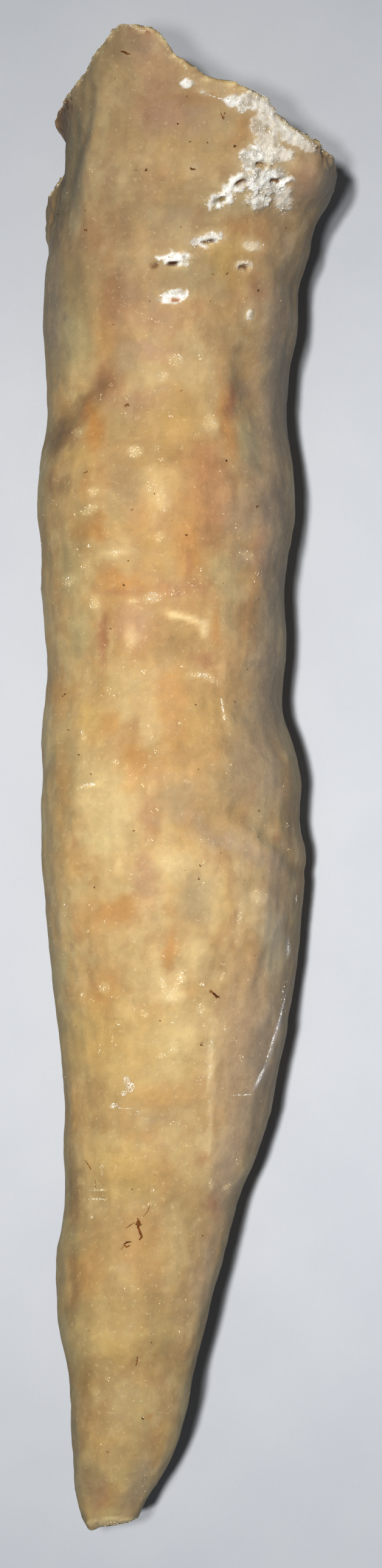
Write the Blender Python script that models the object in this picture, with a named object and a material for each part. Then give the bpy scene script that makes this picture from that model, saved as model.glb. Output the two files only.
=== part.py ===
"""A calcite stalactite, snapped off its ceiling and lying on its side.

It is one solid. Its long axis runs along Y: the broken root is at +Y and the drip tip at -Y. X runs
across it and Z is up, away from the surface that it rests on. The origin is under the middle of its
bounding box, on that surface.

The blank is a sphere whose poles are the two broken ends. Its rings become the cross-sections, whose
left and right edges, underside and height come from the tables below, and the rings nearest a pole
become a fracture face. Every size is in millimetres until the mesh is made. "d" is the distance along
the axis from a line across the tip, and "x" the distance to the right of a line along the stone.
"""

import functools
import math

import bmesh
import bpy
from mathutils import Vector, noise

MM = 0.001

# Driving dimensions
NAME = "stalactite"
LENGTH = 230.0
HEIGHT_TO_WIDTH = 0.86

# The mesh: rings are counted from the root's pole to the tip's
SEGMENTS = 56
ROOT_RINGS = 6
SIDE_RINGS = 70
TIP_RINGS = 3
RINGS = ROOT_RINGS + SIDE_RINGS + TIP_RINGS

# Outline seen from above: (d, x)
LEFT_EDGE = [
    (0, -15.9), (4.5, -17.4), (8.2, -17.8), (13.2, -18.1), (22, -18.3), (26.4, -18.9), (29.8, -20.1),
    (35, -20.3), (40.4, -20.4), (44.3, -20.0), (47.8, -19.3), (51, -19.1), (55, -19.1), (58.7, -19.6),
    (62.4, -19.1), (66, -19.3), (71.7, -19.8), (77, -20.4), (84.6, -21.2), (92, -21.8),
    (99.5, -22.5), (107, -22.9), (114.3, -22.6), (125.4, -22.4), (129, -21.8), (133, -21.9),
    (139.3, -22.3), (144, -22.9), (147.2, -22.5), (151.4, -23.0), (157, -23.3), (162.5, -22.9),
    (166.2, -22.3), (170, -21.8), (177.3, -22.0), (183, -22.3), (189.4, -22.2), (194, -21.6),
    (200.5, -20.0), (205.7, -19.3), (210, -18.9), (216, -19.1), (222, -19.6), (LENGTH, -20.0),
]
RIGHT_EDGE = [
    (0, -8.8), (4.5, -6.5), (8.2, -4.3), (11.7, -2.5), (15.3, -1.1), (19.1, -0.2), (22.6, 0.4),
    (29.8, 2.1), (37, 3.9), (44.1, 5.9), (47.8, 6.8), (51.3, 8.0), (55, 9.6), (58.7, 10.9),
    (62.4, 12.0), (69.8, 13.6), (77.2, 15.0), (84.6, 16.1), (92, 17.1), (97.6, 17.5),
    (103.2, 17.8), (107, 16.8), (110.6, 16.9), (114.3, 17.0), (118, 16.3), (121.7, 15.0),
    (125.4, 14.2), (129.1, 14.2), (134.7, 14.9), (142, 14.4), (147.7, 14.9), (155, 16.0),
    (162.5, 15.5), (169.9, 14.8), (177.3, 15.3), (181, 16.2), (186.6, 16.6), (190.3, 16.5),
    (193, 18.0), (195.9, 18.8), (198.7, 18.9), (201.4, 20.9), (204.2, 22.3), (206.5, 23.1),
    (208, 22.9), (215, 22.7), (LENGTH, 22.5),
]

# Height of the underside above the resting plane; where it is below 0, the stone is worn flat on it
UNDERSIDE = [
    (0, 13.6), (8, 11.6), (18, 9.6), (29, 7.2), (40, 5.0), (52, 2.9), (62, 1.2), (72, 0.1),
    (84, -0.5), (104, -0.5), (118, 0.2), (140, 1.3), (158, 0.5), (172, -0.6), (192, -0.6),
    (206, 0.2), (218, 1.8), (LENGTH, 3.0),
]

# How far the right edge hangs below the middle of the section's height
RIGHT_SAG = [
    (58, 0.0), (72, 1.5), (84, 4.5), (96, 6.0), (106, 5.6), (116, 4.0), (140, 3.5), (160, 2.2),
    (192, 2.0), (206, 0.0),
]

# Relief on the upper face: (x, d, half width, half length, lean in degrees, height)
UPPER_RELIEF = [
    # the long shoulder beside the root, the flank outside it and the bowl inside it
    (-14.6, 205, 2.2, 12, 5, 0.9), (-17.6, 205, 1.5, 12, 3, -0.8), (0.6, 213.5, 5.5, 6, 0, -0.9),
    # the knob at the root's right corner, its trough and the rib that runs down from it
    (19.2, 206, 3.5, 4.5, 0, 0.8), (13.2, 202, 2.8, 7, -10, -0.8), (11.8, 188, 3.0, 14, 0, 0.5),
    # the diagonal fold on the left, with the swellings above and below it
    (-16.0, 171.8, 1.6, 8.5, 38, -1.2), (-16.0, 181, 3.0, 8, 38, 0.4), (-18.0, 158.5, 4.0, 8, 0, 0.5),
    # hollows and flutes down the middle
    (8.1, 173.5, 1.8, 4.5, 0, -0.8), (8.5, 160, 1.8, 10, 0, -0.5), (-15.9, 152.3, 3.0, 2.2, 0, -0.7),
    (3.2, 157, 1.5, 5, 0, -0.4), (-4.0, 141.6, 7.5, 1.6, 0, 0.5), (-6.0, 144.8, 5.0, 1.6, 0, -0.4),
    (-1.5, 134.6, 4.4, 2.8, 0, -1.0), (1.1, 138.5, 1.2, 4, 75, 0.5), (-13.3, 135.2, 1.2, 3.2, 0, -0.8),
    (-1.2, 128, 9.0, 3.0, 0, 0.5), (-8.4, 118, 3.0, 2.5, 0, -0.6), (0.0, 120.8, 1.2, 4, -15, -0.5),
    # the two swellings on the right and the groove that parts them
    (6.7, 103.2, 1.8, 9.5, -56, -1.0), (11.8, 109, 6.0, 7, 0, 0.6), (9.9, 92, 6.0, 9, 0, 0.6),
    (-3.1, 89.7, 1.2, 5, 0, -0.6), (-11.2, 93.9, 2.5, 2.2, 0, -0.4),
    # the rib, facet and thumb-sized hollow above the tip
    (3.3, 63.3, 1.1, 8, 0, 0.4), (12.2, 73.5, 1.2, 8, 24, 0.6), (13.4, 67.5, 2.0, 5, 24, -0.5),
    (-4.5, 63.7, 2.6, 2.4, 0, -0.7), (-10, 39, 4.0, 8, 0, 0.4), (-12, 21, 3.0, 4, 0, -0.4),
]

# Relief on the underside, listed in the same way
LOWER_RELIEF = [
    (-12, 196, 4, 9, 20, 0.8), (9, 186, 4, 12, -14, -1.0), (-14, 166, 3, 9, 30, -1.1),
    (13, 158, 3, 7, 0, 0.7), (-6, 140, 6, 3, 0, -0.9), (11, 128, 3, 8, -30, -0.9),
    (-15, 118, 3, 10, 10, 0.8), (10, 98, 4, 5, 0, 0.7), (-14, 84, 3, 8, -20, -0.9),
    (8, 70, 3, 8, 18, -0.8), (-13, 52, 3, 6, 0, 0.6), (-2, 34, 3, 6, 0, 0.4),
]

# Pits with rims of new calcite on the upper face: (x, d, half width, half length, depth)
PITS = [
    (10.7, 207.9, 1.3, 1.0, 1.0), (7.6, 205.2, 1.4, 0.9, 1.1), (13.0, 205.4, 1.6, 0.9, 1.0),
    (5.0, 202.6, 1.7, 1.0, 1.1), (3.4, 196.2, 1.6, 0.9, 0.9), (8.3, 192.2, 1.2, 0.9, 0.8),
    (-2.6, 192.9, 1.7, 0.9, 1.0), (-2.4, 187.4, 1.5, 0.9, 1.0),
]
PIT_RIM = 0.35
# Part of the side that gets a finer mesh because the pits are there: (low, high)
PITTED_X = (-6.5, 17.0)
PITTED_D = (183.0, 212.0)

# A torn older layer that juts out low on the left of the root: (d, how far it juts)
TORN_LAYER = [
    (192.5, 0.0), (194.6, 1.3), (197.0, 2.9), (199.5, 3.8), (202.0, 4.0), (204.2, 3.6), (205.8, 1.2),
    (209.5, 0.2), (211.5, 1.0), (213.2, 2.6), (214.9, 5.4), (216.4, 4.0), (218.5, 2.0), (221.0, 0.8),
    (224.0, 0.0),
]
TORN_ANGLE = 199.3
TORN_SPREAD_UP = 8.0
TORN_SPREAD_DOWN = 22.0
# Part of the side that gets a finer mesh because of it: (low, high)
TORN_ANGLES = (184.0, 226.0)
TORN_D = (190.0, 222.0)

# Broken root: how far the upper rim reaches along the axis (x, d), with its jagged corners
ROOT_RIM = [
    (-22.0, 213.5), (-18.7, 218.4), (-17.0, 220.6), (-15.4, 221.9), (-14.6, 222.9), (-13.3, 224.4),
    (-12.0, 226.0), (-11.1, 226.9), (-9.6, 226.9), (-8.2, 226.6), (-4.9, 226.0), (-3.9, 224.3),
    (-3.3, 223.4), (-2.4, 221.9), (-1.5, 221.5), (0.9, 219.8), (3.0, 218.6), (5.7, 218.3),
    (8.0, 217.4), (10.6, 216.5), (12.2, 216.2), (12.7, 214.0), (14.0, 213.8), (15.4, 212.3),
    (17.2, 212.8), (19.5, 212.8), (21.4, 211.4), (22.6, 209.4), (23.0, 206.6),
]
# How far it slopes back for each millimetre below its upper rim (x, slope)
ROOT_UNDERCUT = [(-18.0, 0.04), (-11.0, 0.30)]
ROOT_ROUGHNESS = 1.3
CANAL_RADIUS = 1.9
CANAL_DEPTH = 5.0

# Broken tip: how far the upper rim stops short of the end (x, d)
TIP_RIM = [(-17.8, 3.6), (-16.3, 2.0), (-14.6, 1.2), (-12.8, 1.1), (-10.5, 1.4), (-8.0, 2.3), (-6.5, 3.6)]
# Height of its upper rim, and how far it slopes out for each millimetre below that
TIP_TOP = 20.5
TIP_OVERCUT = 0.16
TIP_ROUGHNESS = 0.35

# Natural unevenness of the skin: (feature size, height)
UNEVENNESS = [(15.0, 0.55), (6.0, 0.22)]
RIPPLE_SPACING = 9.0
RIPPLE_HEIGHT = 0.16

STONE_COLOUR = (0.50, 0.355, 0.205, 1.0)
STONE_ROUGHNESS = 0.42


def straight(table, at):
    """Value of a table of (at, value) rows, on straight lines between them."""
    if at <= table[0][0]:
        return table[0][1]
    for (a, low), (b, high) in zip(table, table[1:]):
        if at <= b:
            return low + (high - low) * (at - a) / (b - a)
    return table[-1][1]


def smooth(table, at):
    """Value of a table of (at, value) rows, on a smooth curve through them."""
    if at <= table[0][0]:
        return table[0][1]
    if at >= table[-1][0]:
        return table[-1][1]
    i = next(k for k, row in enumerate(table) if at < row[0]) - 1
    before = table[max(i - 1, 0)]
    (a, low), (b, high) = table[i], table[i + 1]
    after = table[min(i + 2, len(table) - 1)]
    step = b - a
    slope_low = (high - before[1]) / (b - before[0]) * step
    slope_high = (after[1] - low) / (after[0] - a) * step
    t = (at - a) / step
    return (
        low * (2 * t**3 - 3 * t**2 + 1)
        + high * (3 * t**2 - 2 * t**3)
        + slope_low * (t**3 - 2 * t**2 + t)
        + slope_high * (t**3 - t**2)
    )


def wobble(x, y, z, size):
    """Seeded smooth noise from -1 to 1, with features about one size across."""
    return noise.noise(Vector((x, y, z)) / size)


def mound(x, d, centre_x, centre_d, half_width, half_length, lean):
    """1 at the centre of a leaning oval, falling smoothly to 0 around it."""
    turn = math.radians(lean)
    dx = x - centre_x
    dd = d - centre_d
    across = (dx * math.cos(turn) - dd * math.sin(turn)) / half_width
    along = (dx * math.sin(turn) + dd * math.cos(turn)) / half_length
    return math.exp(-(across**2) - along**2)


def relief(x, d, rows):
    return sum(height * mound(x, d, *place) for *place, height in rows)


def pit_depth(x, d):
    """How far the pits sink the skin, less the raised rims round them."""
    sunk = 0.0
    for centre_x, centre_d, half_width, half_length, depth in PITS:
        inside = mound(x, d, centre_x, centre_d, half_width, half_length, 0)
        around = mound(x, d, centre_x, centre_d, 2.2 * half_width, 2.2 * half_length, 0)
        sunk += depth * inside - PIT_RIM * around
    return sunk


def torn_layer(degrees, d):
    """How far the torn older layer stands out at this angle round the section."""
    off = degrees - TORN_ANGLE
    spread = TORN_SPREAD_DOWN if off > 0 else TORN_SPREAD_UP
    return straight(TORN_LAYER, d) * math.exp(-((off / spread) ** 2))


def skin(degrees, d):
    """Point (x, z) of the side at an angle round the section at d; 0 is +X and 90 is up."""
    turn = math.radians(degrees)
    left = smooth(LEFT_EDGE, d)
    right = smooth(RIGHT_EDGE, d)
    half_width = (right - left) / 2
    half_height = half_width * HEIGHT_TO_WIDTH
    middle_x = (right + left) / 2
    middle_z = smooth(UNDERSIDE, d) + half_height
    x = middle_x + half_width * math.cos(turn)
    z = middle_z + half_height * math.sin(turn)
    z -= smooth(RIGHT_SAG, d) * max(0.0, math.cos(turn)) ** 2
    upward = math.sin(turn)
    away_from_edge = min(1.0, 1.5 * abs(upward))
    ripple = math.sin(2 * math.pi * (d / RIPPLE_SPACING + 0.8 * wobble(x, d, z, 22)))
    out = RIPPLE_HEIGHT * ripple
    out += sum(height * wobble(x, d, z, size) for size, height in UNEVENNESS)
    out += relief(x, d, UPPER_RELIEF if upward > 0 else LOWER_RELIEF)
    if upward > 0:
        out -= pit_depth(x, d)
    out = out * away_from_edge + torn_layer(degrees % 360, d)
    return x + out * math.cos(turn), z + out * math.sin(turn)


def root_face(x, z):
    """How far the broken root reaches along the axis at (x, z)."""
    top = smooth(UNDERSIDE, 210) + HEIGHT_TO_WIDTH * (smooth(RIGHT_EDGE, 210) - smooth(LEFT_EDGE, 210))
    below_top = max(0.0, top - z)
    middle_x = (smooth(RIGHT_EDGE, 215) + smooth(LEFT_EDGE, 215)) / 2
    from_canal = math.hypot(x - middle_x, z - top / 2)
    canal = CANAL_DEPTH * math.exp(-((from_canal / CANAL_RADIUS) ** 4))
    rough = wobble(x, 7.0, z, 5.5) + 0.6 * wobble(x, 3.0, z, 2.6)
    inner = min(1.0, below_top / 8)
    undercut = straight(ROOT_UNDERCUT, x) * below_top
    return straight(ROOT_RIM, x) - undercut + ROOT_ROUGHNESS * rough * inner - canal


def tip_face(x, z):
    """How far from the end the broken tip stands at (x, z)."""
    lower = max(0.0, TIP_TOP - z)
    rough = wobble(x, 11.0, z, 2.8)
    return straight(TIP_RIM, x) - TIP_OVERCUT * lower + TIP_ROUGHNESS * rough


@functools.lru_cache(maxsize=None)
def end_of_side(degrees, face, start):
    """The d at which the side meets a broken end at this angle."""
    d = start
    for _ in range(12):
        d = (d + face(*skin(degrees, d))) / 2
    return d


def place(ring, degrees):
    """The stalactite's point (x, d, z) for a place on the blank."""
    root_end = end_of_side(degrees, root_face, LENGTH - 8)
    tip_end = end_of_side(degrees, tip_face, 1.0)
    if ring < ROOT_RINGS:
        return face_point(root_face, degrees, root_end, 215, ring / ROOT_RINGS)
    if ring > ROOT_RINGS + SIDE_RINGS:
        return face_point(tip_face, degrees, tip_end, 2, (RINGS - ring) / TIP_RINGS)
    share = (ring - ROOT_RINGS) / SIDE_RINGS
    d = root_end + (tip_end - root_end) * share
    x, z = skin(degrees, d)
    return x, d, z


def face_point(face, degrees, rim_d, middle_d, share):
    """A point on a broken end, from its middle at share 0 to its rim at share 1."""
    middle_x = (smooth(RIGHT_EDGE, middle_d) + smooth(LEFT_EDGE, middle_d)) / 2
    half_width = (smooth(RIGHT_EDGE, middle_d) - smooth(LEFT_EDGE, middle_d)) / 2
    middle_z = smooth(UNDERSIDE, middle_d) + half_width * HEIGHT_TO_WIDTH
    rim_x, rim_z = skin(degrees, rim_d)
    x = middle_x + (rim_x - middle_x) * share
    z = middle_z + (rim_z - middle_z) * share
    return x, face(x, z), z


def blank():
    """A sphere on the Z axis, with a finer grid where the small forms will be."""
    bm = bmesh.new()
    bmesh.ops.create_uvsphere(bm, u_segments=SEGMENTS, v_segments=RINGS, radius=1.0)
    fine = {v for v in bm.verts if in_fine_part(v)}
    edges = [e for e in bm.edges if fine.issuperset(e.verts)]
    bmesh.ops.subdivide_edges(bm, edges=edges, cuts=1, use_grid_fill=True)
    return bm


def ring_and_angle(vertex):
    """The blank's ring number, which may lie between two rings, and the angle round it."""
    direction = vertex.co.normalized()
    ring = math.acos(max(-1.0, min(1.0, direction.z))) / math.pi * RINGS
    return ring, round(math.degrees(math.atan2(direction.y, direction.x)), 3)


def in_fine_part(vertex):
    """Whether the blank's point will lie among the pits, on the torn layer or on the root's upper rim."""
    ring, degrees = ring_and_angle(vertex)
    if not ROOT_RINGS - 1 < ring < ROOT_RINGS + SIDE_RINGS:
        return False
    x, d, _ = place(ring, degrees)
    if degrees > 0:
        pitted = PITTED_X[0] < x < PITTED_X[1] and PITTED_D[0] < d < PITTED_D[1]
        return pitted or ring < ROOT_RINGS + 2
    return TORN_ANGLES[0] < degrees + 360 < TORN_ANGLES[1] and TORN_D[0] < d < TORN_D[1]


def shape(bm):
    """Moves the blank's points to the stalactite's, and rubs flat what lies under the resting plane."""
    for vertex in bm.verts:
        ring, degrees = ring_and_angle(vertex)
        x, d, z = place(ring, degrees)
        vertex.co = Vector((x, d, max(0.0, z))) * MM


def centre_on_base(bm):
    """Puts the origin under the middle of the bounding box, on the resting plane."""
    xs = [v.co.x for v in bm.verts]
    ys = [v.co.y for v in bm.verts]
    middle = Vector(((min(xs) + max(xs)) / 2, (min(ys) + max(ys)) / 2, 0.0))
    bmesh.ops.translate(bm, verts=bm.verts, vec=-middle)


def stone():
    material = bpy.data.materials.new("calcite")
    material.use_nodes = True
    shader = material.node_tree.nodes["Principled BSDF"]
    shader.inputs["Base Color"].default_value = STONE_COLOUR
    shader.inputs["Roughness"].default_value = STONE_ROUGHNESS
    shader.inputs["Metallic"].default_value = 0.0
    return material


def main():
    for obj in list(bpy.data.objects):
        bpy.data.objects.remove(obj)
    bm = blank()
    shape(bm)
    centre_on_base(bm)
    bmesh.ops.recalc_face_normals(bm, faces=bm.faces)
    mesh = bpy.data.meshes.new(NAME)
    bm.to_mesh(mesh)
    bm.free()
    mesh.materials.append(stone())
    mesh.shade_smooth()
    mesh.set_sharp_from_angle(angle=math.radians(40))
    collection = bpy.data.collections.new(NAME)
    bpy.context.scene.collection.children.link(collection)
    collection.objects.link(bpy.data.objects.new(NAME, mesh))


main()
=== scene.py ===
"""The looks of the stalactite: its skin, its broken ends, the chalky crust round its pits, and its dirt.

The stone is a fine mesh made from the CAD node that it replaces. Small things on it are placed by where
they show in the picture, 628 x 2576 pixels from straight above, and are put on the stone by a line of
sight from the camera. Sizes on the stone are in millimetres until a mesh is made from them.

In the tables an oval is picture x, y, half width and half height in pixels, and then its lean in degrees
if it leans. A layer of noise is its strength, size in mm and shift, and then its stretch if it has any.
"""

import math

import bmesh
import bpy
import numpy as np
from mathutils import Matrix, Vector, noise
from mathutils.bvhtree import BVHTree


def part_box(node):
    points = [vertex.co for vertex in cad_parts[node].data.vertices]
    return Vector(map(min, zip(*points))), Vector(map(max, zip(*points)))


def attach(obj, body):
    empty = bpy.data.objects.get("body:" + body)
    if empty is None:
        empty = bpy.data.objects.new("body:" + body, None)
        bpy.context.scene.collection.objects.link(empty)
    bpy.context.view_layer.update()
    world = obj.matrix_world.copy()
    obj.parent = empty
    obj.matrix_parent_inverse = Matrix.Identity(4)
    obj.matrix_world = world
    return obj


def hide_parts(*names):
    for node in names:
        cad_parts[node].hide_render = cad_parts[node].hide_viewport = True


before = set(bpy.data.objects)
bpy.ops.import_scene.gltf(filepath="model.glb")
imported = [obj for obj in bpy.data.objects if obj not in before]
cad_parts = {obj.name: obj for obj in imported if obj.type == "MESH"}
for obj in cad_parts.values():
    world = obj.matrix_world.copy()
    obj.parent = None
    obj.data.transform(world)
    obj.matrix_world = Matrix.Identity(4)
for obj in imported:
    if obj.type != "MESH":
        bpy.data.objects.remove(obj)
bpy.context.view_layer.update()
low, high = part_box("stalactite")

MM = 0.001
SEED = 11

# The camera looks straight down. Its picture is true to size at LEVEL, the height of the stone's axis.
PICTURE_WIDE, PICTURE_HIGH = 628, 2576
PIXEL = 0.0926
LEVEL = 18.0
LENS = 120.0
SENSOR = 36.0
AWAY = LENS * PICTURE_HIGH * PIXEL / SENSOR
MIDDLE_X = (low.x + high.x) / 2 / MM
EYE_X = MIDDLE_X + 0.5
EYE_Y = (low.y + high.y) / 2 / MM
EYE = Vector((EYE_X, EYE_Y, LEVEL + AWAY)) * MM

# Light comes from just left of the camera. Its even part lights the whole floor, and a round lamp's cones,
# with their watts and widths in degrees, make the middle of the picture brighter.
EVEN_LIGHT = 1.5
EVEN_SOFTNESS = 3.5
EVEN_PLACE = (-0.13, 0.01, 0.80)
LAMP_SIZE = 0.06
LAMP_PLACE = (-0.088, 0.0, 0.80)
LAMP_AIM = (0.008, -0.012, 0.0)
LAMP_CONES = [(2.0, 14.5), (4.1, 21.5), (4.8, 36.0)]
ROOM_COLOUR = (0.80, 0.84, 0.92, 1.0)
ROOM_LIGHT = 0.11

# The stone's mesh: the size of its squares, and how many rounds of smoothing its skin and its rims get,
# how wide and crisp the rims stay, over how many rounds shrinkage is given back, and each round's share
GRAIN = 0.66
SMOOTHING, RIM_SMOOTHING = 26, 3
RIM_WIDTH, RIM_CRISPNESS = 5, 1.6
GIVE_BACK = 60
PULL = 0.6
# How much faces look up that start to show in the picture, and that show fully
UPPER_FACE = (-0.25, 0.12)
# How far a break reaches from its end of the stone, and how much its faces look along the stone
ROOT_REACH, ROOT_FACES = 34, (0.35, 0.6)
TIP_REACH, TIP_FACES = 5, (0.5, 0.75)
# Where the resting face starts: how much it looks down, and its height
FLAT_FACES = (0.9, 0.99)
FLAT_BELOW = 0.15
# The finer mesh reaches this many pixels past each oval
FINER_EDGE = 8


def srgb(red, green, blue):
    """Linear colour of a screen colour from 0 to 255."""
    parts = [c / 255 for c in (red, green, blue)]
    return np.array([c / 12.92 if c <= 0.04045 else ((c + 0.055) / 1.055) ** 2.4 for c in parts])


TINTS = {
    "tan": srgb(181, 154, 112), "orange": srgb(186, 143, 91), "rust": srgb(170, 129, 96),
    "pink": srgb(179, 146, 121), "cream": srgb(202, 182, 137), "yellow": srgb(193, 164, 109),
    "olive": srgb(150, 133, 98), "green": srgb(175, 161, 122), "grey": srgb(148, 134, 112),
    "brown": srgb(136, 107, 79), "bright": srgb(228, 208, 162), "lilac": srgb(174, 153, 126),
    "chalk": srgb(244, 241, 233), "dark": srgb(92, 62, 44),
}
# How far the colour differs at the root and at the tip, the painted shade on both sides and the painted
# bluish light on the right side, and where each of these starts and is full: in mm along the stone, or in
# how much a face looks up or right
ROOT_TONE, ROOT_SHADE = np.array((0.93, 0.95, 1.06)), (45.0, 95.0)
TIP_TONE, TIP_SHADE = np.array((0.86, 0.88, 0.86)), (-20.0, -85.0)
# Painted shade: the sides darker and greyer where faces turn away from the light above
PAINTED_FLANK_SHADE, PAINTED_FLANK_SHADE_FACES = np.array((0.75, 0.84, 0.97)), (0.25, 0.80)
# Painted light: the right side paler and bluer, as under a bluish fill light, with less of it near the
# root
PAINTED_RIGHT_LIGHT, PAINTED_RIGHT_LIGHT_FACES = np.array((1.16, 1.17, 1.31)), (0.0, 0.80)
PAINTED_RIGHT_LIGHT_LOSS = 0.4
CREST_TONE = 0.97
# How dark hollows are: (weight, rounds of smoothing) of small and large ones, and the limits of the sum
HOLLOWS = [(3.0, 4), (6.0, 30)]
HOLLOW_LIMITS = (-0.10, 0.22)
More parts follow.
